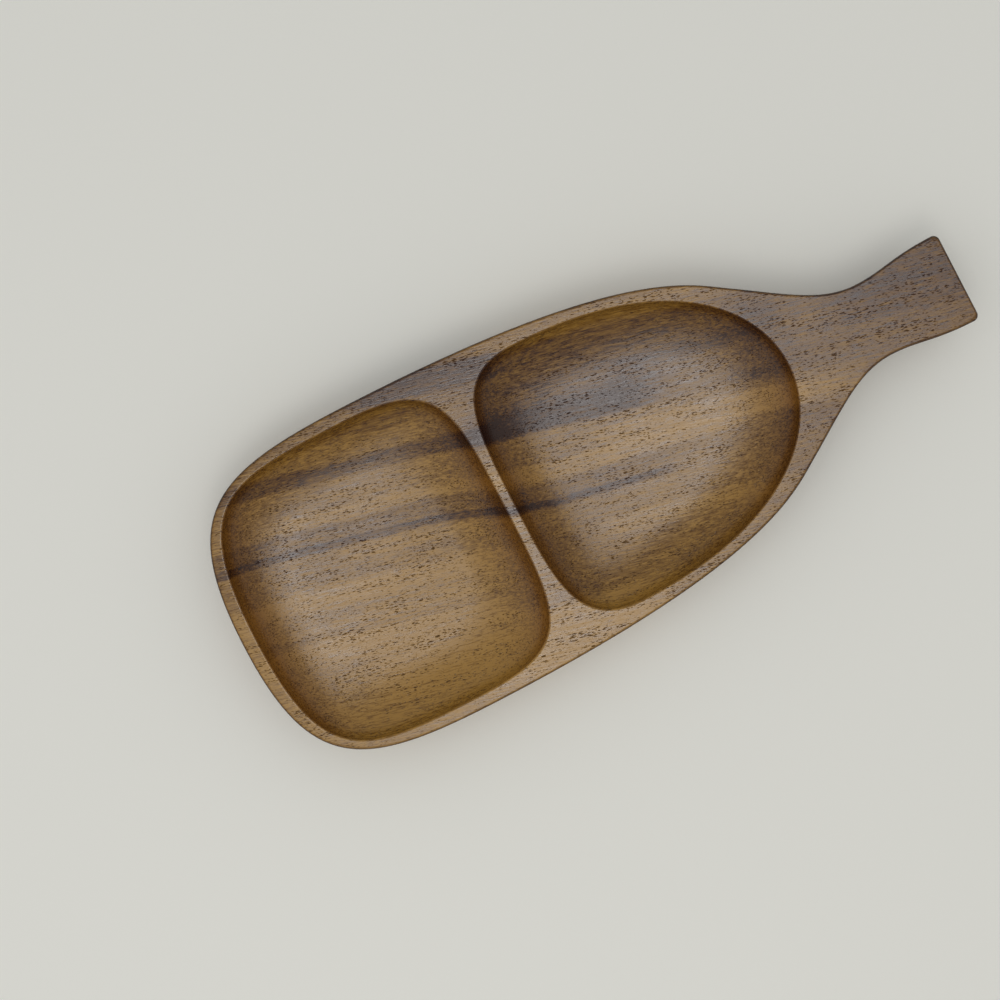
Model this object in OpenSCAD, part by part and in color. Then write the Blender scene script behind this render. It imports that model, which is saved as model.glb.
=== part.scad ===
// Divided serving bowl, carved from one board of hardwood in the outline of a bottle.
// X runs along the bowl towards the handle, Z is up, and the origin is under the middle, on the table.

/* [Whole bowl] */
// Length from the broad end to the end of the handle
bowl_length = 440; // [420:1:460]
// Width across the widest place
bowl_width = 182; // [172:1:190]
// Height of the rim above the table
bowl_height = 32; // [30:1:38]
// Radius of the eased outer edge of the rim and the handle
outer_edge = 1.6; // [0.8:0.1:2]

/* [Outline] */
// Distance from the broad end to the widest place
widest_place = 108; // [100:1:120]
// Distance from the broad end to the shoulder, where the sides run straight to the neck
shoulder_place = 325; // [318:1:332]
// Width across the shoulder
shoulder_width = 104; // [96:1:112]
// Distance from the broad end to the narrowest place of the neck
neck_place = 388; // [382:1:394]
// Width of the neck at its narrowest place
neck_width = 43; // [38:1:48]
// Width of the flared end of the handle
handle_end_width = 52; // [48:1:58]
// Radius of the two corners of the handle, seen from above
handle_corner = 3.5; // [2:0.5:6]

/* [Underside] */
// How far the sides curve in from the rim to the flat foot
belly_inset = 26; // [22:1:30]
// How far the edges of the handle curve in to its underside
handle_inset = 9; // [6:1:12]
// Thickness of the handle
handle_thickness = 14; // [12:1:18]
// Distance from the broad end to where the foot ends and the underside starts to rise
foot_end = 292; // [280:1:300]

/* [Hollows] */
// Depth of both hollows at the foot of their walls
hollow_depth = 21.5; // [18:0.5:23]
// How far the floor sinks further towards the middle of each hollow
floor_dish = 1.5; // [0.5:0.1:2]
// How far the walls of the hollows curve in to the floor
wall_inset = 40; // [32:1:44]
// How far the wall at the neck end curves in to the floor
neck_wall_inset = 64; // [54:1:68]
// How far the hollows turn oval towards their floors, from 0 for not at all to 1
floor_roundness = 0.6; // [0:0.1:0.8]
// Radius of the eased edge around each hollow
inner_edge = 1.2; // [0.6:0.1:1.6]
// Width of the rim at the broad end
end_rim = 7; // [5:0.5:10]
// Width of the rim beside the broad hollow
side_rim = 6.5; // [5:0.5:10]
// Distance from the broad end to the middle of the divider
divider_place = 164.5; // [158:0.5:170]
// Thickness of the divider at its narrowest place
divider_thickness = 4; // [3.2:0.2:10]
// Distance from the broad end to the widest place of the broad hollow
broad_widest_place = 104; // [98:1:110]
// Width of the hollow beside the neck
neck_hollow_width = 158; // [146:1:162]
// Distance from the broad end to the widest place of the hollow beside the neck
neck_widest_place = 206; // [202:1:212]
// Distance from the broad end to the neck end of that hollow
neck_hollow_end = 336; // [326:1:340]

/* [Hidden] */
// How far the cutting solids reach above the rim
overrun = 3;

// How far each curve is pulled along its end directions, as shares of the curve's own size
broad_end_pull_shares = [0.88, 0.74];
shoulder_pull_shares = [0.78, 0.1];
neck_pull_shares = [0.48, 0.33];
handle_pull_shares = [0.35, 0.5];
round_pull_share = 0.552;
broad_hollow_left_shares = [1, 0.72];
broad_hollow_right_shares = [0.76, 1];
neck_hollow_left_shares = [0.62, 1];
neck_hollow_right_shares = [0.49, 0.69];
// Slope of the straight stretch between the shoulder and the neck
shoulder_slope = 0.64;

// Steps along each curve of the half outline, and along a quarter of a hollow
end_steps = 15;
side_steps = 13;
neck_steps = 9;
handle_steps = 5;
corner_steps = 3;
quarter_steps = 16;
// Angles round the eased edges, from the flat of the rim down
edge_angles = [90, 60, 30];
// Angles down the curved walls, from level with the edge to the foot of the wall
belly_angles = [0, 12, 24, 36, 48, 60, 70, 80, 90];
wall_angles = [12, 24, 36, 48, 60, 72, 84];
// Sizes of the rings on the floor of a hollow, as shares of the floor
floor_ring_shares = [0.75, 0.5, 0.25];

first_x = -bowl_length / 2;
handle_lift = bowl_height - handle_thickness;

// Value at a share of the way from one to another
function between(from, to, share) = from + (to - from) * share;

// Point of a cubic curve at share t
function cubic(p, t) =
    pow(1 - t, 3) * p[0] + 3 * pow(1 - t, 2) * t * p[1] + 3 * (1 - t) * t * t * p[2] + pow(t, 3) * p[3];

// Points of a cubic curve, without the last one
function run(p, steps) = [for (i = [0 : steps - 1]) cubic(p, i / steps)];

// Curve from a point on the axis out to the widest place, or the other way round
function rising_quarter(from_x, to_x, half, shares) = [
    [from_x, 0],
    [from_x, half * shares[0]],
    [to_x - (to_x - from_x) * shares[1], half],
    [to_x, half]
];
function falling_quarter(from_x, to_x, half, shares) = [
    [from_x, half],
    [from_x + (to_x - from_x) * shares[1], half],
    [to_x, half * shares[0]],
    [to_x, 0]
];

// Half outline of the bowl from the broad end to the end of the handle, drawn in by one
// amount on the body and another on the handle, with half of each at the shoulder
function half_outline(body_in, handle_in) =
    let (
        slope_length = norm([1, shoulder_slope]),
        shoulder_in = (body_in + handle_in) / 2,
        broad = [first_x + body_in, 0],
        widest = [first_x + widest_place, bowl_width / 2 - body_in],
        shoulder = [
            first_x + shoulder_place - shoulder_in * shoulder_slope / slope_length,
            shoulder_width / 2 - shoulder_in / slope_length
        ],
        neck = [first_x + neck_place, neck_width / 2 - handle_in],
        tip = [-first_x - handle_in, handle_end_width / 2 - handle_in],
        flare_end = [tip[0] - handle_corner, tip[1]],
        corner_end = [tip[0], tip[1] - handle_corner],
        side_run = shoulder[0] - widest[0],
        neck_run = neck[0] - shoulder[0],
        flare_run = flare_end[0] - neck[0],
        down_slope = [1, -shoulder_slope] / slope_length
    )
    concat(
        run(rising_quarter(broad[0], widest[0], widest[1], broad_end_pull_shares), end_steps),
        run([
            widest,
            widest + [side_run * shoulder_pull_shares[0], 0],
            shoulder - side_run * shoulder_pull_shares[1] * down_slope,
            shoulder
        ], side_steps),
        run([
            shoulder,
            shoulder + neck_run * neck_pull_shares[0] * down_slope,
            neck - [neck_run * neck_pull_shares[1], 0],
            neck
        ], neck_steps),
        run([
            neck,
            neck + [flare_run * handle_pull_shares[0], 0],
            flare_end - [flare_run * handle_pull_shares[1], 0],
            flare_end
        ], handle_steps),
        run([
            flare_end,
            flare_end + [handle_corner * round_pull_share, 0],
            corner_end + [0, handle_corner * round_pull_share],
            corner_end
        ], corner_steps),
        [corner_end, [tip[0], 0]]
    );

// Half outline of a hollow, drawn in by one amount and at its right end by another, and
// turned oval by its roundness
function half_hollow(left_x, widest_x, right_x, half, left_shares, right_shares, inset, right_inset, roundness) =
    let (
        left = left_x + inset,
        right = right_x - right_inset,
        wide = half - inset,
        widest_share = between((widest_x - left_x) / (right_x - left_x), 0.5, roundness),
        widest = between(left, right, widest_share),
        left_pulls = [for (share = left_shares) between(share, round_pull_share, roundness)],
        right_pulls = [for (share = right_shares) between(share, round_pull_share, roundness)]
    )
    concat(
        run(rising_quarter(left, widest, wide, left_pulls), quarter_steps),
        run(falling_quarter(widest, right, wide, right_pulls), quarter_steps),
        [[right, 0]]
    );

// Half outline shrunk about the middle of its length
function shrunk(half, size_share) =
    let (middle = [(half[0][0] + half[len(half) - 1][0]) / 2, 0])
    [for (p = half) middle + size_share * (p - middle)];

// Closed ring of 3D points from a half outline and the height of each of its points
function ring(half, heights) =
    let (last = len(half) - 1)
    concat(
        [for (i = [0 : last]) [half[i][0], half[i][1], heights[i]]],
        [for (i = [last - 1 : -1 : 1]) [half[i][0], -half[i][1], heights[i]]]
    );
function level_ring(half, height) = ring(half, [for (p = half) height]);

// Solid between rings that lie below each other, closed by strips across the axis
module ring_loft(rings) {
    count = len(rings[0]);
    half = count / 2;
    last = len(rings) - 1;
    bottom = last * count;
    sides = [
        for (r = [0 : last - 1], i = [0 : count - 1])
        let (
            a = r * count + i,
            b = r * count + (i + 1) % count,
            c = b + count,
            d = a + count
        )
        each [[a, c, b], [a, d, c]]
    ];
    top_cap = [
        for (i = [0 : half - 2])
        let (j = (count - i) % count, k = count - i - 1)
        each i == 0 ? [[0, 1, k]]
            : i == half - 2 ? [[i, i + 1, half], [i, half, k], [i, k, j]]
            : [[i, i + 1, k], [i, k, j]]
    ];
    bottom_cap = [for (face = top_cap) [bottom + face[2], bottom + face[1], bottom + face[0]]];
    polyhedron(
        points = [for (one = rings) each one],
        faces = concat(sides, top_cap, bottom_cap),
        convexity = 6
    );
}

// Height of the underside, flat at the foot and rising smoothly under the neck to the handle
function underside(x) =
    let (
        rise_start = first_x + foot_end,
        rise_end = first_x + neck_place,
        t = max(0, min(1, (x - rise_start) / (rise_end - rise_start)))
    )
    handle_lift * t * t * (3 - 2 * t);

// Body of the bowl without its hollows: an eased edge, then sides that curve in to the underside
module board_body() {
    wall_top = bowl_height - outer_edge;
    edge_rings = [
        for (angle = edge_angles)
        let (inward = outer_edge * (1 - cos(angle)))
        level_ring(half_outline(inward, inward), wall_top + outer_edge * sin(angle))
    ];
    belly_rings = [
        for (angle = belly_angles)
        let (
            share = 1 - cos(angle),
            half = half_outline(belly_inset * share, handle_inset * share)
        )
        ring(half, [for (p = half) wall_top - (wall_top - underside(p[0])) * sin(angle)])
    ];
    ring_loft(concat(edge_rings, belly_rings));
}

// One hollow as a solid to cut: an eased edge, a curved wall and a dished floor
module hollow(left_x, widest_x, right_x, half, left_shares, right_shares, right_wall_inset) {
    wall_top = bowl_height - inner_edge;
    wall_foot = bowl_height - hollow_depth;
    foot_angle = wall_angles[len(wall_angles) - 1];
    function wall_z(angle) = wall_top - (wall_top - wall_foot) * sin(angle);
    function outline_at(inset, right_inset, roundness) =
        half_hollow(
            left_x, widest_x, right_x, half, left_shares, right_shares, inset, right_inset, roundness
        );
    function wall_outline(angle) =
        let (share = 1 - cos(angle))
        outline_at(
            between(inner_edge, wall_inset, share),
            between(inner_edge, right_wall_inset, share),
            floor_roundness * share
        );
    above = [level_ring(outline_at(0, 0, 0), bowl_height + overrun)];
    edge_rings = [
        for (angle = concat(edge_angles, 0))
        let (inset = inner_edge * cos(angle))
        level_ring(outline_at(inset, inset, 0), wall_top + inner_edge * sin(angle))
    ];
    wall_rings = [for (angle = wall_angles) level_ring(wall_outline(angle), wall_z(angle))];
    floor_rings = [
        for (share = floor_ring_shares)
        level_ring(
            shrunk(wall_outline(foot_angle), share),
            wall_z(foot_angle) - floor_dish * (1 - share * share)
        )
    ];
    ring_loft(concat(above, edge_rings, wall_rings, floor_rings));
}

// The whole bowl, carved from one piece of wood
module carved_bowl() {
    divider_x = first_x + divider_place;
    color("#8b6b4e")
    difference() {
        board_body();
        hollow(
            first_x + end_rim,
            first_x + broad_widest_place,
            divider_x - divider_thickness / 2,
            bowl_width / 2 - side_rim,
            broad_hollow_left_shares,
            broad_hollow_right_shares,
            wall_inset
        );
        hollow(
            divider_x + divider_thickness / 2,
            first_x + neck_widest_place,
            first_x + neck_hollow_end,
            neck_hollow_width / 2,
            neck_hollow_left_shares,
            neck_hollow_right_shares,
            neck_wall_inset
        );
    }
}

carved_bowl();
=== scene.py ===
"""Divided serving bowl: one board of oiled tropical hardwood, carved in the outline of a bottle."""

import math

import bpy
import bmesh
from mathutils import Matrix, Vector


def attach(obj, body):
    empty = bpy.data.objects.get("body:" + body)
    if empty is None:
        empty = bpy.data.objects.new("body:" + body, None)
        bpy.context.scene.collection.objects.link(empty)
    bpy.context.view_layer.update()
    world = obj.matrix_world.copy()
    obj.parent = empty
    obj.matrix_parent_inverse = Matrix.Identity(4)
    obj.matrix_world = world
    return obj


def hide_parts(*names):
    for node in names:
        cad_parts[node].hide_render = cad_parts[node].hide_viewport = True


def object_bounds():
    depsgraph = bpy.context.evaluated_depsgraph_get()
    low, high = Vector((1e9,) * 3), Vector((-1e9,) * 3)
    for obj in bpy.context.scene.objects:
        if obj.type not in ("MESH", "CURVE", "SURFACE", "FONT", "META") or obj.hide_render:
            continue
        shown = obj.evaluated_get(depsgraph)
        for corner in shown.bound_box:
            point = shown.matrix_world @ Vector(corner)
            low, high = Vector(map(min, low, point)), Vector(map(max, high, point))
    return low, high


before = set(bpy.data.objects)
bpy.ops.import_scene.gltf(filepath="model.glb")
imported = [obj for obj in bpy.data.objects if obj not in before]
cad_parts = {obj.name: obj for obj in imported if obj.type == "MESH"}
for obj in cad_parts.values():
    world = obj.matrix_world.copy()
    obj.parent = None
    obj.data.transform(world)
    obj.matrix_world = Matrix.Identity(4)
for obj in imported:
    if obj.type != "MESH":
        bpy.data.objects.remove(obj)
cad_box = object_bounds()
scene = bpy.context.scene
scene.view_settings.view_transform = "Standard"

# Camera.
# It looks straight down on the bowl, whose handle is turned to the upper right. The lens is chosen
# so that the picture is as wide as the given stretch of the rim's plane.
MM = 0.001
BOWL_TURN = math.radians(27.35)
CAMERA_PLACE = (-58.75 * MM, 6.27 * MM)
CAMERA_ABOVE_RIM = 800 * MM
NEAREST_SEEN = 10 * MM
RIM_WIDTH_SEEN = 545.7 * MM
SENSOR_MM = 36.0
# The size of the whole bowl comes from the frame, to the micrometre
LENGTH, WIDTH, RIM_HEIGHT = [round(high - low, 6) for low, high in zip(*cad_box)]

camera_data = bpy.data.cameras.new("camera_above")
camera_data.sensor_width = SENSOR_MM
camera_data.lens = SENSOR_MM * CAMERA_ABOVE_RIM / RIM_WIDTH_SEEN
camera_data.clip_start = NEAREST_SEEN
camera = bpy.data.objects.new("camera_above", camera_data)
camera.matrix_world = (
    Matrix.Translation((*CAMERA_PLACE, RIM_HEIGHT + CAMERA_ABOVE_RIM))
    @ Matrix.Rotation(-BOWL_TURN, 4, "Z")
)
scene.collection.objects.link(camera)
scene.camera = camera

# Studio.
# The bowl stands on a table top of board painted matt white, in a light room. A softbox below the
# picture and a wide window beyond its lower left throw the shadow. Two reflection panels hang
# above, one nearly overhead and one towards the handle, and show only as sheen.
TABLE_SIZE = 6.0
TABLE_STEPS = 12
TABLE_HEX = "#F2F3F0"
TABLE_ROUGHNESS = 0.75
SKY_HEX = "#F6F5F0"
SKY_STRENGTH = 0.62
# Each lamp: tilt from straight up towards +X and +Y in degrees, distance and size in metres,
# watts, colour, and whether it lights the surfaces as well as showing in their sheen
LAMPS = (
    ("panel_overhead", -3.6, -4.0, 1.7, 0.56, 6.8, "#FFFFFF", False),
    ("panel_handle_side", 15.0, 1.5, 1.7, 0.78, 6.0, "#FFFFFF", False),
    ("softbox_key", -12.0, -25.0, 1.6, 0.7, 2.2, "#FFF9F0", True),
    ("side_window", -45.0, -8.0, 2.0, 2.2, 4.0, "#FFFFFF", True),
)


def linear(hex_colour):
    """Turns an sRGB hex value into linear red, green, blue and alpha."""
    parts = [int(hex_colour[i:i + 2], 16) / 255 for i in (1, 3, 5)]
    return tuple(c / 12.92 if c <= 0.04045 else ((c + 0.055) / 1.055) ** 2.4 for c in parts) + (1.0,)


table_mesh = bpy.data.meshes.new("table_top")
table_form = bmesh.new()
bmesh.ops.create_grid(
    table_form, x_segments=TABLE_STEPS, y_segments=TABLE_STEPS, size=TABLE_SIZE / 2
)
table_form.to_mesh(table_mesh)
table_form.free()
table_top = bpy.data.objects.new("table_top", table_mesh)
scene.collection.objects.link(table_top)

# Matt wall paint rolled on board: it gives the eye soft shade and no reflection
painted_board = bpy.data.materials.new("matt_painted_board")
painted_board.use_nodes = True
paint = painted_board.node_tree.nodes["Principled BSDF"]
paint.inputs["Base Color"].default_value = linear(TABLE_HEX)
paint.inputs["Roughness"].default_value = TABLE_ROUGHNESS
table_mesh.materials.append(painted_board)

sky = bpy.data.worlds.new("studio_room")
sky.use_nodes = True
sky.node_tree.nodes["Background"].inputs["Color"].default_value = linear(SKY_HEX)
sky.node_tree.nodes["Background"].inputs["Strength"].default_value = SKY_STRENGTH
scene.world = sky

for name, tilt_x, tilt_y, distance, size, watts, colour, lights_surfaces in LAMPS:
    aim = Vector((math.tan(math.radians(tilt_x)), math.tan(math.radians(tilt_y)), 1)).normalized()
    lamp_data = bpy.data.lights.new(name, "AREA")
    lamp_data.shape = "DISK"
    lamp_data.size = size
    lamp_data.energy = watts
    lamp_data.color = linear(colour)[:3]
    lamp = bpy.data.objects.new(name, lamp_data)
    lamp.location = aim * distance
    lamp.rotation_euler = aim.to_track_quat("Z", "Y").to_euler()
    lamp.visible_camera = False
    lamp.visible_diffuse = lights_surfaces
    scene.collection.objects.link(lamp)

# Carved bowl.
# One thick board of brown tropical hardwood is sawn to the outline of a bottle. Its two hollows
# and its round belly are routed out, every edge is sanded to a small round, and the whole is oiled.
OUTER_EDGE = 1.6 * MM
# The outline from above, with each place as a distance from the broad end
WIDEST_PLACE = 108 * MM
SHOULDER_PLACE = 325 * MM
SHOULDER_WIDTH = 104 * MM
SHOULDER_SLOPE = 0.64
NECK_PLACE = 388 * MM
NECK_WIDTH = 43 * MM
HANDLE_END_WIDTH = 52 * MM
HANDLE_CORNER = 3.5 * MM
# The round belly, the handle's underside and the flat foot
BELLY_INSET = 26 * MM
HANDLE_INSET = 9 * MM
HANDLE_THICKNESS = 14 * MM
FOOT_END = 292 * MM
# The two hollows
HOLLOW_DEPTH = 21.5 * MM
FLOOR_DISH = 1.5 * MM
WALL_INSET = 40 * MM
NECK_WALL_INSET = 64 * MM
FLOOR_ROUNDNESS = 0.6
INNER_EDGE = 1.2 * MM
END_RIM = 7 * MM
SIDE_RIM = 6.5 * MM
DIVIDER_PLACE = 164.5 * MM
DIVIDER_THICKNESS = 4 * MM
BROAD_WIDEST_PLACE = 104 * MM
NECK_HOLLOW_WIDTH = 158 * MM
NECK_WIDEST_PLACE = 206 * MM
NECK_HOLLOW_END = 336 * MM
FIRST_X = -LENGTH / 2
# How far each curve is pulled along its end directions, as shares of the curve's own size. A
# hollow has a pair for its left half and one for its right: across at the end, along at the side.
BROAD_END_PULL = (0.88, 0.74)
SHOULDER_PULL = (0.78, 0.1)
NECK_PULL = (0.48, 0.33)
HANDLE_PULL = (0.35, 0.5)
ROUND_PULL = 0.552
BROAD_HOLLOW_PULLS = ((1, 0.72), (0.76, 1))
NECK_HOLLOW_PULLS = ((0.62, 1), (0.49, 0.69))
# Steps of the mesh along the outline's curves, and down the edges, the walls and the floors
END_STEPS = 60
SIDE_STEPS = 52
NECK_STEPS = 36
HANDLE_STEPS = 20
CORNER_STEPS = 12
QUARTER_STEPS = 64
EDGE_STEPS = 6
BELLY_STEPS = 24
WALL_STEPS = 28
FLOOR_STEPS = 24
# The walls curve in this far round, in degrees, before the floor starts
WALL_LAST_ANGLE = 84
# How much large faces outweigh small ones in the smooth shading, where 50 is even
FLAT_FACE_WEIGHT = 60


def curve(points, steps):
    """Points of a cubic curve, without the last one."""
    found = []
    for i in range(steps):
        t = i / steps
        shares = ((1 - t) ** 3, 3 * (1 - t) ** 2 * t, 3 * (1 - t) * t * t, t ** 3)
        found.append(sum((share * p for share, p in zip(shares, points)), Vector((0, 0))))
    return found


def board_outline(body_in, handle_in):
    """Half outline of the bowl, drawn in by one amount on the body and another on the handle."""
    down_slope = Vector((1, -SHOULDER_SLOPE)).normalized()
    off_slope = Vector((-down_slope.y, down_slope.x))
    broad = Vector((FIRST_X + body_in, 0))
    widest = Vector((FIRST_X + WIDEST_PLACE, WIDTH / 2 - body_in))
    shoulder = Vector((FIRST_X + SHOULDER_PLACE, SHOULDER_WIDTH / 2))
    shoulder -= off_slope * (body_in + handle_in) / 2
    neck = Vector((FIRST_X + NECK_PLACE, NECK_WIDTH / 2 - handle_in))
    tip = Vector((-FIRST_X - handle_in, HANDLE_END_WIDTH / 2 - handle_in))
    flare_end = tip - Vector((HANDLE_CORNER, 0))
    corner_end = tip - Vector((0, HANDLE_CORNER))
    side_run = shoulder.x - widest.x
    neck_run = neck.x - shoulder.x
    flare_run = flare_end.x - neck.x
    end_run = widest.x - broad.x
    along = Vector((1, 0))
    across = Vector((0, 1))
    return (
        curve((
            broad,
            broad + across * widest.y * BROAD_END_PULL[0],
            widest - along * end_run * BROAD_END_PULL[1],
            widest,
        ), END_STEPS)
        + curve((
            widest,
            widest + along * side_run * SHOULDER_PULL[0],
            shoulder - down_slope * side_run * SHOULDER_PULL[1],
            shoulder,
        ), SIDE_STEPS)
        + curve((
            shoulder,
            shoulder + down_slope * neck_run * NECK_PULL[0],
            neck - along * neck_run * NECK_PULL[1],
            neck,
        ), NECK_STEPS)
        + curve((
            neck,
            neck + along * flare_run * HANDLE_PULL[0],
            flare_end - along * flare_run * HANDLE_PULL[1],
            flare_end,
        ), HANDLE_STEPS)
        + curve((
            flare_end,
            flare_end + along * HANDLE_CORNER * ROUND_PULL,
            corner_end + across * HANDLE_CORNER * ROUND_PULL,
            corner_end,
        ), CORNER_STEPS)
        + [corner_end, Vector((tip.x, 0))]
    )


def hollow_outline(left, widest, right, half, pulls, inset, right_inset, roundness):
    """Half outline of a hollow, drawn in and rounder further down, more so at its right end."""
    wide = half - inset
    left_end = Vector((left + inset, 0))
    right_end = Vector((right - right_inset, 0))
    crown_share = (widest - left) / (right - left)
    crown_share += (0.5 - crown_share) * roundness
    crown = Vector((left_end.x + (right_end.x - left_end.x) * crown_share, wide))
    left_run = crown.x - left_end.x
    right_run = right_end.x - crown.x
    (left_up, left_level), (right_up, right_level) = [
        [pull + (ROUND_PULL - pull) * roundness for pull in pair] for pair in pulls
    ]
    return (
        curve((
            left_end,
            left_end + Vector((0, wide * left_up)),
            crown - Vector((left_run * left_level, 0)),
            crown,
        ), QUARTER_STEPS)
        + curve((
            crown,
            crown + Vector((right_run * right_level, 0)),
            right_end + Vector((0, wide * right_up)),
            right_end,
        ), QUARTER_STEPS)
        + [right_end]
    )


def full_ring(form, half, heights):
    """Vertices round the axis from a half outline and the height of each of its points."""
    placed = list(zip(half, heights))
    upper = [form.verts.new((p.x, p.y, height)) for p, height in placed]
    lower = [form.verts.new((p.x, -p.y, height)) for p, height in placed[-2:0:-1]]
    return upper + lower


def level_ring(form, half, height):
    """Vertices round the axis from a half outline, all at one height."""
    return full_ring(form, half, [height] * len(half))


def join_rings(form, rings):
    """Quads between each ring and the next one."""
    for a, b in zip(rings, rings[1:]):
        count = len(a)
        for i in range(count):
            j = (i + 1) % count
            form.faces.new((a[i], b[i], b[j], a[j]))


def underside(x):
    """Height of the underside, flat at the foot and rising under the neck to the handle."""
    t = (x - FIRST_X - FOOT_END) / (NECK_PLACE - FOOT_END)
    t = max(0.0, min(1.0, t))
    return (RIM_HEIGHT - HANDLE_THICKNESS) * t * t * (3 - 2 * t)


form = bmesh.new()
outer_edge = form.verts.layers.float.new("outer_edge")
edge_low = RIM_HEIGHT - OUTER_EDGE
body_rings = []
for step in range(EDGE_STEPS):
    angle = math.radians(90 - 90 * step / EDGE_STEPS)
    inward = OUTER_EDGE * (1 - math.cos(angle))
    height = edge_low + OUTER_EDGE * math.sin(angle)
    body_rings.append(level_ring(form, board_outline(inward, inward), height))
for step in range(BELLY_STEPS + 1):
    angle = math.radians(90 * step / BELLY_STEPS)
    share = 1 - math.cos(angle)
    drop = math.sin(angle)
    half = board_outline(BELLY_INSET * share, HANDLE_INSET * share)
    heights = [edge_low - (edge_low - underside(p.x)) * drop for p in half]
    body_rings.append(full_ring(form, half, heights))
join_rings(form, body_rings)
# The rings of the sharp outer edge are marked, for the painted shade laid where it turns down
for ring in body_rings[:EDGE_STEPS + 1]:
    for corner in ring:
        corner[outer_edge] = 1.0

# The flat foot is closed by strips across it
foot_ring = body_rings[-1]
foot_count = len(foot_ring)
for i in range(foot_count // 2):
    j = (foot_count - i) % foot_count
    k = foot_count - i - 1
    corners = [foot_ring[i], foot_ring[j], foot_ring[k], foot_ring[i + 1]]
    form.faces.new(list(dict.fromkeys(corners)))

# Each hollow goes from its edge at the rim down its wall and in over its floor
hollow_tops = []
for left, widest, right, half_width, pulls, right_wall_inset in (
    (
        FIRST_X + END_RIM,
        FIRST_X + BROAD_WIDEST_PLACE,
        FIRST_X + DIVIDER_PLACE - DIVIDER_THICKNESS / 2,
        WIDTH / 2 - SIDE_RIM,
        BROAD_HOLLOW_PULLS,
        WALL_INSET,
    ),
    (
        FIRST_X + DIVIDER_PLACE + DIVIDER_THICKNESS / 2,
        FIRST_X + NECK_WIDEST_PLACE,
        FIRST_X + NECK_HOLLOW_END,
        NECK_HOLLOW_WIDTH / 2,
        NECK_HOLLOW_PULLS,
        NECK_WALL_INSET,
    ),
):
    top = RIM_HEIGHT - INNER_EDGE
    foot = RIM_HEIGHT - HOLLOW_DEPTH
    rings = []
    for step in range(EDGE_STEPS + 1):
        angle = math.radians(90 - 90 * step / EDGE_STEPS)
        inset = INNER_EDGE * math.cos(angle)
        half = hollow_outline(left, widest, right, half_width, pulls, inset, inset, 0)
        rings.append(level_ring(form, half, top + INNER_EDGE * math.sin(angle)))
    for step in range(1, WALL_STEPS + 1):
        angle = math.radians(WALL_LAST_ANGLE * step / WALL_STEPS)
        share = 1 - math.cos(angle)
        inset = INNER_EDGE + (WALL_INSET - INNER_EDGE) * share
        right_inset = INNER_EDGE + (right_wall_inset - INNER_EDGE) * share
        height = top - (top - foot) * math.sin(angle)
        half = hollow_outline(
            left, widest, right, half_width, pulls, inset, right_inset, FLOOR_ROUNDNESS * share
        )
        rings.append(level_ring(form, half, height))
    floor_edge = height
    floor_middle = Vector(((half[0].x + half[-1].x) / 2, 0))
    for step in range(1, FLOOR_STEPS):
        share = 1 - step / FLOOR_STEPS
        height = floor_edge - FLOOR_DISH * (1 - share * share)
        shrunk = [floor_middle + (p - floor_middle) * share for p in half]
        rings.append(level_ring(form, shrunk, height))
    join_rings(form, rings)
    middle = form.verts.new((floor_middle.x, 0, floor_edge - FLOOR_DISH))
    last_ring = rings[-1]
    for i, corner in enumerate(last_ring):
        form.faces.new((corner, middle, last_ring[(i + 1) % len(last_ring)]))
    hollow_tops.append(rings[0])

# The flat of the rim fills what is left between the outline and the two hollows
rim_edges = []
for ring in [body_rings[0]] + hollow_tops:
    for i, corner in enumerate(ring):
        rim_edges.append(form.edges.get((corner, ring[(i + 1) % len(ring)])))
bmesh.ops.triangle_fill(form, use_beauty=True, edges=rim_edges)
bmesh.ops.recalc_face_normals(form, faces=form.faces)
bowl_mesh = bpy.data.meshes.new("carved_board")
form.to_mesh(bowl_mesh)
form.free()
bowl_mesh.shade_smooth()
carved_board = bpy.data.objects.new("carved_board", bowl_mesh)
scene.collection.objects.link(carved_board)
even_shading = carved_board.modifiers.new("even_shading", "WEIGHTED_NORMAL")
even_shading.weight = FLAT_FACE_WEIGHT

# The wood is oiled heartwood of a brown tropical hardwood with open pores, sawn so that its growth
# layers run slantwise along the bowl. Sanding and oil leave it satin: the eye sees soft sheen over
# dark and pale layers, pores as short dark lines, and browner walls where cut fibres drink the oil.
OILED_WOOD_IOR = 1.47
# The turn of the grain against the bowl's length
GRAIN_TURN = math.radians(13.45)
# How far the layers step across the grain for each step of height
LAYER_LEAN = 0.11
# Colours from the darkest wood to the palest, and the place between them of plain wood
WOOD_TONES = ((0, "#341910"), (0.25, "#5B3A16"), (0.5, "#76531D"), (0.75, "#8B662A"), (1, "#A37B37"))
PLAIN_TONE = 0.62
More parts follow.
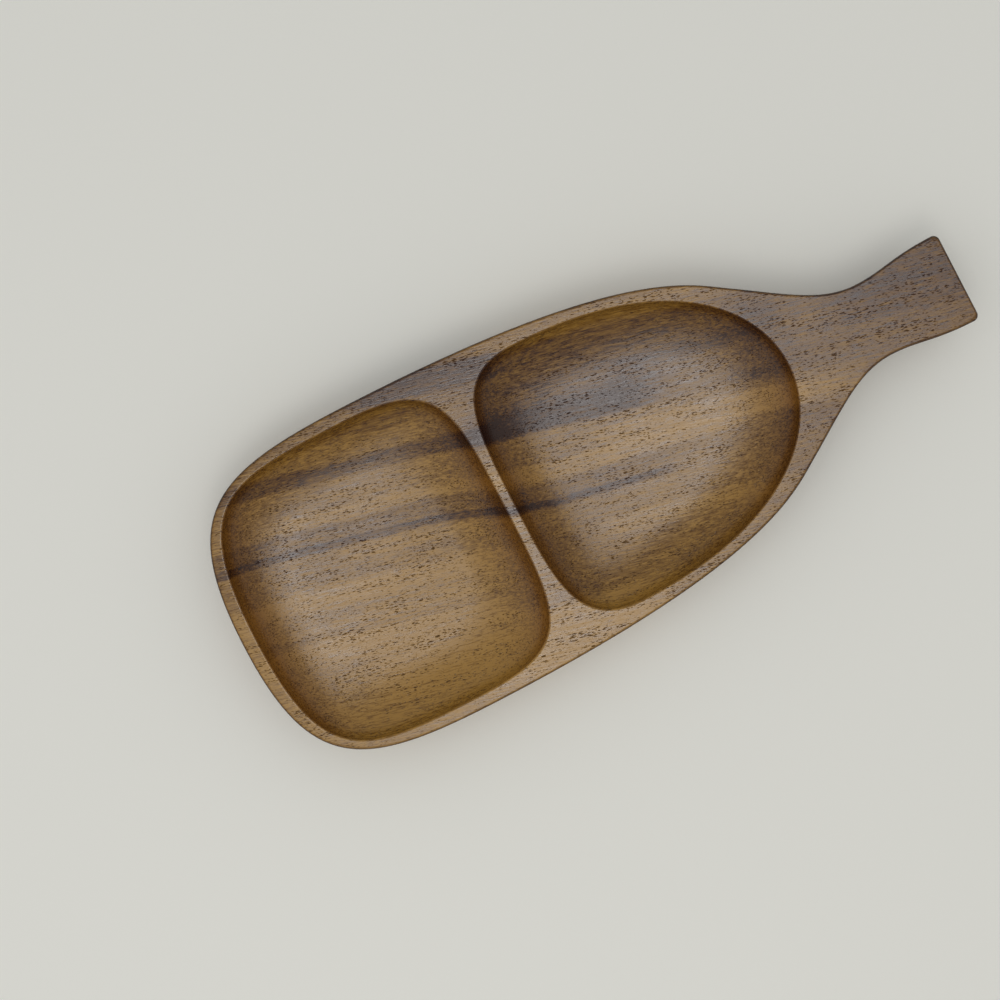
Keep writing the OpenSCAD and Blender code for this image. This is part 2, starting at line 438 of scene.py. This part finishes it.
# Growth layers that stand out: across the grain from, to and how soft each side is, along the
# grain from, to and how softly they end, all in millimetres, and how much paler they are, as a
# step of tone
GROWTH_LAYERS = (
    ("pale_low_wood", -130, -34, 30, 5, -260, -60, 40, 0.2),
    ("pale_low_corner", -104, -74, 10, 8, -148, -60, 30, 0.14),
    ("paler_by_divider", -110, 58, 14, 12, -160, -62, 60, 0.1),
    ("paler_broad_end", -66, 40, 20, 20, -250, -178, 30, 0.08),
    ("low_dark_line", -81, -77, 2, 2, -170, -60, 30, -0.14),
    ("low_pale_line", -74, -63, 4, 4, -230, -70, 30, 0.12),
    ("second_dark_line", -63, -58, 2, 2.5, -230, -60, 20, -0.14),
    ("third_dark_line", -54, -48, 3, 2, -240, -60, 30, -0.06),
    ("middle_pale_line", -44, -36, 3, 2, -220, -60, 30, 0.1),
    ("brown_middle", -34, -24, 4, 4, -230, -60, 30, 0.03),
    ("pale_by_divider", -24, -16, 4, 2, -150, -40, 40, 0.16),
    ("main_dark_line_broad", -14.4, -10, 2, 1.6, -240, -50, 20, -0.44),
    ("brown_by_main_line", -11, -0.5, 2, 2, -240, -50, 20, -0.18),
    ("fine_dark_line", -4, -1, 1.2, 1.2, -210, -100, 20, -0.12),
    ("pale_middle", 1, 8, 2, 3, -190, -50, 40, 0.18),
    ("upper_dark_line", 24.5, 33.5, 3, 4, -250, -50, 20, -0.4),
    ("upper_brown", 46, 80, 6, 6, -220, -60, 30, -0.18),
    ("dark_upper_rim", 58, 74, 4, 8, -128, -45, 20, -0.34),
    ("pale_neck_edge", -110, -72, 6, 8, -60, 20, 30, 0.3),
    ("neck_pale_line", -46, -34, 6, 3, -10, 90, 30, 0.22),
    ("main_dark_line_neck", -16.5, -12, 2, 2, -60, 38, 25, -0.42),
    ("brown_neck_middle", -15, -4.5, 2, 2, -60, 40, 30, -0.16),
    ("pale_band", -2, 8, 3, 3, -60, 90, 40, 0.3),
    ("pale_band_neck", 5, 16, 3, 3, 0, 120, 40, 0.24),
    ("dark_heart", 22, 44, 4, 24, -70, 38, 40, -0.5),
    ("dark_heart_edge", 22, 36, 3, 8, -70, 30, 30, -0.18),
    ("brown_heart_end", 22, 50, 4, 9, 20, 110, 40, -0.22),
    ("brown_upper_neck", 46, 72, 8, 4, -60, 110, 30, -0.3),
    ("pale_band_handle", 2, 20, 4, 6, 90, 150, 30, 0.24),
    ("brown_handle", -80, 90, 8, 8, 95, 260, 40, -0.2),
    ("dark_handle_edge", 40, 75, 8, 8, 140, 260, 30, -0.2),
)


def add(tree, kind, settings=None, inputs=None):
    """Adds one node; an input takes a value, a node's first output or a socket."""
    made = tree.nodes.new(kind)
    for name, value in (settings or {}).items():
        setattr(made, name, value)
    for key, value in (inputs or {}).items():
        if isinstance(value, bpy.types.Node):
            value = value.outputs[0]
        if isinstance(value, bpy.types.NodeSocket):
            tree.links.new(value, made.inputs[key])
        else:
            made.inputs[key].default_value = value
    return made


oiled_hardwood = bpy.data.materials.new("oiled_carved_hardwood")
oiled_hardwood.use_nodes = True
tree = oiled_hardwood.node_tree
shader = tree.nodes["Principled BSDF"]

places = add(tree, "ShaderNodeTexCoord").outputs["Object"]
grain_frame = add(tree, "ShaderNodeMapping", None, {
    "Vector": places,
    "Rotation": (0, 0, GRAIN_TURN),
    "Scale": (1 / MM, 1 / MM, 1 / MM),
})
grain_axes = add(tree, "ShaderNodeSeparateXYZ", None, {0: grain_frame})
along_grain = grain_axes.outputs["X"]
leaning = add(tree, "ShaderNodeMath", {"operation": "MULTIPLY_ADD"}, {
    0: grain_axes.outputs["Z"],
    1: LAYER_LEAN,
    2: -LAYER_LEAN * RIM_HEIGHT / MM,
})
across_grain = add(tree, "ShaderNodeMath", {"operation": "ADD"}, {
    0: grain_axes.outputs["Y"],
    1: leaning,
})

# Each figure of the wood is a noise stretched along the grain: its length and width in
# millimetres, its detail and how rough that is. Real fibres are under 0.1 mm wide, too fine for
# the picture, whose pixels are 0.5 mm, so they are drawn in bundles 0.8 mm wide.
figure = {}
for name, along, across, detail, rough in (
    ("wander", 170, 60, 1, 0.4),
    ("ripple", 38, 16, 2, 0.5),
    ("bands", 200, 7.5, 2, 0.5),
    ("streaks", 60, 1.5, 3, 0.6),
    ("fibres", 7, 0.8, 2, 0.7),
    ("pore_zones", 45, 5, 1, 0.5),
    ("drift", 120, 45, 1, 0.5),
):
    stretched = add(tree, "ShaderNodeMapping", None, {
        "Vector": grain_frame,
        "Scale": (1 / along, 1 / across, 1 / across),
    })
    figure[name] = add(tree, "ShaderNodeTexNoise", {"label": name}, {
        "Vector": stretched,
        "Scale": 1.0,
        "Detail": detail,
        "Roughness": rough,
    })

# The layers wander and ripple this far across the grain. Those along the middle also bend: along
# the grain from, to, across it from, to, and how far they are moved, all in millimetres.
WANDER_MM = 2.4
RIPPLE_MM = 1.2
wandered = add(tree, "ShaderNodeMath", {"operation": "MULTIPLY_ADD"}, {
    0: figure["wander"],
    1: WANDER_MM,
    2: across_grain,
})
rippled = add(tree, "ShaderNodeMath", {"operation": "MULTIPLY_ADD"}, {
    0: figure["ripple"],
    1: RIPPLE_MM,
    2: wandered,
})
centred = add(tree, "ShaderNodeMath", {"operation": "SUBTRACT"}, {
    0: rippled,
    1: (WANDER_MM + RIPPLE_MM) / 2,
})
bent = centred
for along_start, along_end, across_start, across_end, bend_mm in (
    (-100, -25, -36, -28, 4.2),
    (-100, -25, 8, 15, -4.2),
    (-20, 80, 14, -4, -5),
):
    reach = add(tree, "ShaderNodeMapRange", None, {
        "Value": along_grain,
        "From Min": along_start,
        "From Max": along_end,
    })
    share = add(tree, "ShaderNodeMapRange", {"interpolation_type": "SMOOTHSTEP"}, {
        "Value": centred,
        "From Min": across_start,
        "From Max": across_end,
    })
    bend = add(tree, "ShaderNodeMath", {"operation": "MULTIPLY"}, {0: reach, 1: share})
    bent = add(tree, "ShaderNodeMath", {"operation": "MULTIPLY_ADD"}, {
        0: bend,
        1: bend_mm,
        2: bent,
    })


def soft_stretch(tree, value, start, stop, soft_start, soft_stop):
    """One between two places, fading to nothing outside them."""
    rise, fall = [
        add(tree, "ShaderNodeMapRange", {"interpolation_type": "SMOOTHSTEP"}, {
            "Value": value,
            "From Min": nothing,
            "From Max": full,
        })
        for nothing, full in (
            (start - soft_start / 2, start + soft_start / 2),
            (stop + soft_stop / 2, stop - soft_stop / 2),
        )
    ]
    return add(tree, "ShaderNodeMath", {"operation": "MULTIPLY"}, {0: rise, 1: fall})


# The tone starts at plain wood, is raised or lowered by each layer, and then by each finer figure
FIGURE_CONTRAST = (("bands", 0.35), ("streaks", 1.0), ("fibres", 1.75), ("drift", 0.2))
NOISE_MIDDLE = 0.5
tone = PLAIN_TONE
for name, start, stop, soft_start, soft_stop, along_start, along_stop, along_soft, paler in GROWTH_LAYERS:
    layer_across = soft_stretch(tree, bent, start, stop, soft_start, soft_stop)
    layer_along = soft_stretch(tree, along_grain, along_start, along_stop, along_soft, along_soft)
    layer = add(tree, "ShaderNodeMath", {"operation": "MULTIPLY", "label": name}, {
        0: layer_across,
        1: layer_along,
    })
    tone = add(tree, "ShaderNodeMath", {"operation": "MULTIPLY_ADD"}, {
        0: layer,
        1: paler,
        2: tone,
    })
for name, contrast in FIGURE_CONTRAST:
    off_middle = add(tree, "ShaderNodeMath", {"operation": "SUBTRACT"}, {
        0: figure[name],
        1: NOISE_MIDDLE,
    })
    tone = add(tree, "ShaderNodeMath", {"operation": "MULTIPLY_ADD"}, {
        0: off_middle,
        1: contrast,
        2: tone,
    })
plain_wood = add(tree, "ShaderNodeValToRGB", None, {"Fac": tone})
tones = plain_wood.color_ramp.elements
while len(tones) < len(WOOD_TONES):
    tones.new(1.0)
for element, (place, colour) in zip(tones, WOOD_TONES):
    element.position = place
    element.color = linear(colour)

# Open pores are cut lengthwise into short dark furrows, one in each cell of a stretched pattern. A
# real one is some 0.2 mm wide, too fine for the picture, so they are drawn up to 0.6 mm wide. A
# row says how long and wide its cells are in millimetres, and how far it is shifted.
PORE_ROWS = (("long_pores", 4.6, 0.78, 0.0), ("short_pores", 2.6, 0.66, 3.7))
# Reach of the smallest and the largest pore, and the width of their soft brink, as shares of a cell
LEAST_PORE = 0.14
MOST_PORE = 0.37
PORE_BRINK = 0.1
# Pores are smaller in some zones of the wood and larger in others, between these values of a noise
PORE_ZONE_NOISE = (0.35, 0.65)
PORE_ZONE_SIZES = (0.55, 1.1)
zone = add(tree, "ShaderNodeMapRange", None, {
    "Value": figure["pore_zones"],
    "From Min": PORE_ZONE_NOISE[0],
    "From Max": PORE_ZONE_NOISE[1],
    "To Min": PORE_ZONE_SIZES[0],
    "To Max": PORE_ZONE_SIZES[1],
})
rippled_frame = add(tree, "ShaderNodeCombineXYZ", None, {
    "X": along_grain,
    "Y": rippled,
    "Z": grain_axes.outputs["Z"],
})
pore_shares = []
for name, pore_along, pore_across, shift in PORE_ROWS:
    cells = add(tree, "ShaderNodeMapping", None, {
        "Vector": rippled_frame,
        "Location": (shift, shift, shift),
        "Scale": (1 / pore_along, 1 / pore_across, 1 / pore_across),
    })
    pores = add(tree, "ShaderNodeTexVoronoi", {"label": name}, {"Vector": cells, "Scale": 1.0})
    chance = add(tree, "ShaderNodeSeparateColor", None, {0: pores.outputs["Color"]})
    size = add(tree, "ShaderNodeMapRange", None, {
        "Value": chance.outputs[0],
        "To Min": LEAST_PORE,
        "To Max": MOST_PORE,
    })
    shown_size = add(tree, "ShaderNodeMath", {"operation": "MULTIPLY"}, {0: size, 1: zone})
    depth = add(tree, "ShaderNodeMath", {"operation": "SUBTRACT"}, {
        0: shown_size,
        1: pores.outputs["Distance"],
    })
    pore_shares.append(add(tree, "ShaderNodeMapRange", None, {
        "Value": depth,
        "From Max": PORE_BRINK,
    }))
pore = add(tree, "ShaderNodeMath", {"operation": "MAXIMUM"}, {
    0: pore_shares[0],
    1: pore_shares[1],
})

# Cut fibre ends drink more oil and look darker, the more squarely they are cut. The colour inputs
# of a mix are its sockets 6 and 7, and its colour comes out of socket 2.
FIRST_COLOUR = 6
SECOND_COLOUR = 7
MIXED_COLOUR = 2
END_CUT_SPAN = (0.1, 0.8)
END_CUT_COVER = 0.75
END_CUT_HEX = "#B8966A"
facing = add(tree, "ShaderNodeNewGeometry").outputs["Normal"]
grain_line = (math.cos(GRAIN_TURN), -math.sin(GRAIN_TURN), 0)
end_cut = add(tree, "ShaderNodeVectorMath", {"operation": "DOT_PRODUCT"}, {0: facing, 1: grain_line})
end_share = add(tree, "ShaderNodeMath", {"operation": "ABSOLUTE"}, {0: end_cut.outputs["Value"]})
end_dark = add(tree, "ShaderNodeMapRange", {"interpolation_type": "SMOOTHSTEP"}, {
    "Value": end_share,
    "From Min": END_CUT_SPAN[0],
    "From Max": END_CUT_SPAN[1],
    "To Max": END_CUT_COVER,
})
oiled_ends = add(tree, "ShaderNodeMix", {"data_type": "RGBA", "blend_type": "MULTIPLY"}, {
    0: end_dark,
    FIRST_COLOUR: plain_wood,
    SECOND_COLOUR: linear(END_CUT_HEX),
})

# Painted shade: the sharp outer edge is darkened from where it starts to turn down, away from the light
# above
EDGE_SHADE_HEX = "#6E5A4C"
EDGE_SHADE_COVER = 0.75
EDGE_TURN_SPAN = (0.99, 0.75)
shaded_edge_part = add(tree, "ShaderNodeAttribute", {"attribute_name": "outer_edge"})
normal_axes = add(tree, "ShaderNodeSeparateXYZ", None, {0: facing})
turned_away = add(tree, "ShaderNodeMapRange", {"interpolation_type": "SMOOTHSTEP"}, {
    "Value": normal_axes.outputs["Z"],
    "From Min": EDGE_TURN_SPAN[0],
    "From Max": EDGE_TURN_SPAN[1],
    "To Max": EDGE_SHADE_COVER,
})
edge_shade = add(tree, "ShaderNodeMath", {"operation": "MULTIPLY"}, {
    0: turned_away,
    1: shaded_edge_part.outputs["Fac"],
})
# The painted shade of the outer edge is multiplied into the wood's colour
edge_shaded_wood = add(tree, "ShaderNodeMix", {"data_type": "RGBA", "blend_type": "MULTIPLY"}, {
    0: edge_shade,
    FIRST_COLOUR: oiled_ends.outputs[MIXED_COLOUR],
    SECOND_COLOUR: linear(EDGE_SHADE_HEX),
})

# The pores hold dark oil and dust
PORE_HEX = "#35221A"
PORE_COVER = 0.78
pore_filling = add(tree, "ShaderNodeMath", {"operation": "MULTIPLY"}, {0: pore, 1: PORE_COVER})
wood_colour = add(tree, "ShaderNodeMix", {"data_type": "RGBA"}, {
    0: pore_filling,
    FIRST_COLOUR: edge_shaded_wood.outputs[MIXED_COLOUR],
    SECOND_COLOUR: linear(PORE_HEX),
})
tree.links.new(wood_colour.outputs[MIXED_COLOUR], shader.inputs["Base Color"])

# Oil soaks in unevenly along the streaks and fibres, so the satin sheen varies. The pores are
# rougher and hardly shine.
OIL_NOISE_SPAN = (0.7, 1.3)
SATIN_ROUGHNESS = (0.2, 0.42)
PORE_ROUGHER = 0.25
WOOD_GLOSS = 0.5
PORE_LOSES_GLOSS = 0.42
oil_uneven = add(tree, "ShaderNodeMath", {"operation": "ADD"}, {
    0: figure["streaks"],
    1: figure["fibres"],
})
satin = add(tree, "ShaderNodeMapRange", None, {
    "Value": oil_uneven,
    "From Min": OIL_NOISE_SPAN[0],
    "From Max": OIL_NOISE_SPAN[1],
    "To Min": SATIN_ROUGHNESS[0],
    "To Max": SATIN_ROUGHNESS[1],
})
roughness = add(tree, "ShaderNodeMath", {"operation": "MULTIPLY_ADD"}, {
    0: pore,
    1: PORE_ROUGHER,
    2: satin,
})
tree.links.new(roughness.outputs[0], shader.inputs["Roughness"])
gloss = add(tree, "ShaderNodeMath", {"operation": "MULTIPLY_ADD"}, {
    0: pore,
    1: -PORE_LOSES_GLOSS,
    2: WOOD_GLOSS,
})
tree.links.new(gloss.outputs[0], shader.inputs["Specular IOR Level"])
shader.inputs["IOR"].default_value = OILED_WOOD_IOR

# Sanding leaves the fibres raised a little and the pores open
RELIEF_DEPTH = 0.16 * MM
RELIEF_STRENGTH = 0.6
surface_height = add(tree, "ShaderNodeMath", {"operation": "SUBTRACT"}, {
    0: figure["fibres"],
    1: pore,
})
relief = add(tree, "ShaderNodeBump", None, {
    "Strength": RELIEF_STRENGTH,
    "Distance": RELIEF_DEPTH,
    "Height": surface_height,
})
tree.links.new(relief.outputs[0], shader.inputs["Normal"])
bowl_mesh.materials.append(oiled_hardwood)

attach(carved_board, "root")
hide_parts("carved_bowl")
